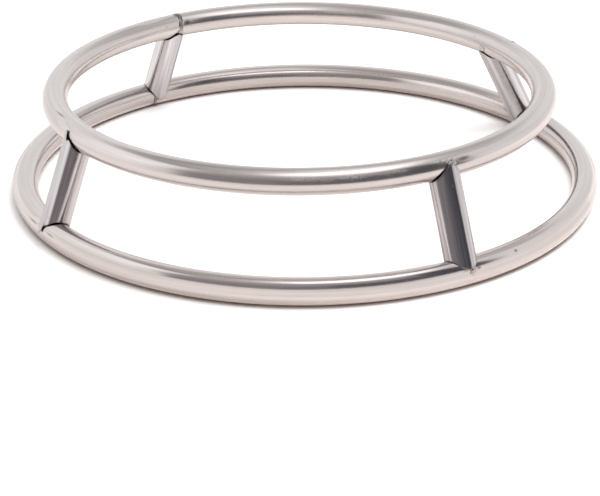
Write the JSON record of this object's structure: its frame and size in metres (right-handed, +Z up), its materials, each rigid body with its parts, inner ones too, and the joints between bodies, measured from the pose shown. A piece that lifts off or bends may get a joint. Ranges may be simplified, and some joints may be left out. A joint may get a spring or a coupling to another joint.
{
  "type": "wok ring",
  "caption": "Welded tube stand of two hoops, a smaller above a larger, joined by leaning struts; it steadies a round-bottomed wok over a hob burner.",
  "frame": {"origin": "middle of the lower hoop, on the surface that it stands on", "axes": "+Z up, from the lower hoop to the upper; -Y towards the front, as pictured; +X to the right"},
  "size_m": [0.236, 0.236, 0.045],
  "materials": {
    "ring_steel": "polished stainless tube with faint lengthwise draw lines and light scuffs",
    "strut_steel": "mill-finish stainless tube with lengthwise draw lines",
    "weld_steel": "small tack welds and dressed seam welds, with straw and brown heat tint"
  },
  "bodies": {
    "root": {"lower_ring": "ring_steel", "upper_ring": "ring_steel", "lower_ring_seam_weld": "weld_steel", "upper_ring_seam_weld": "weld_steel", "strut_front_right": "strut_steel", "strut_back_right": "strut_steel", "strut_back_left": "strut_steel", "strut_front_left": "strut_steel", "tack_front_right_foot_outer": "weld_steel", "tack_front_right_foot_inner": "weld_steel", "tack_front_right_head_outer": "weld_steel", "tack_front_right_head_inner": "weld_steel", "tack_back_right_foot_outer": "weld_steel", "tack_back_right_foot_inner": "weld_steel", "tack_back_right_head_outer": "weld_steel", "tack_back_right_head_inner": "weld_steel", "tack_back_left_foot_outer": "weld_steel", "tack_back_left_foot_inner": "weld_steel", "tack_back_left_head_outer": "weld_steel", "tack_back_left_head_inner": "weld_steel", "tack_front_left_foot_outer": "weld_steel", "tack_front_left_foot_inner": "weld_steel", "tack_front_left_head_outer": "weld_steel", "tack_front_left_head_inner": "weld_steel"}
  },
  "joints": []
}
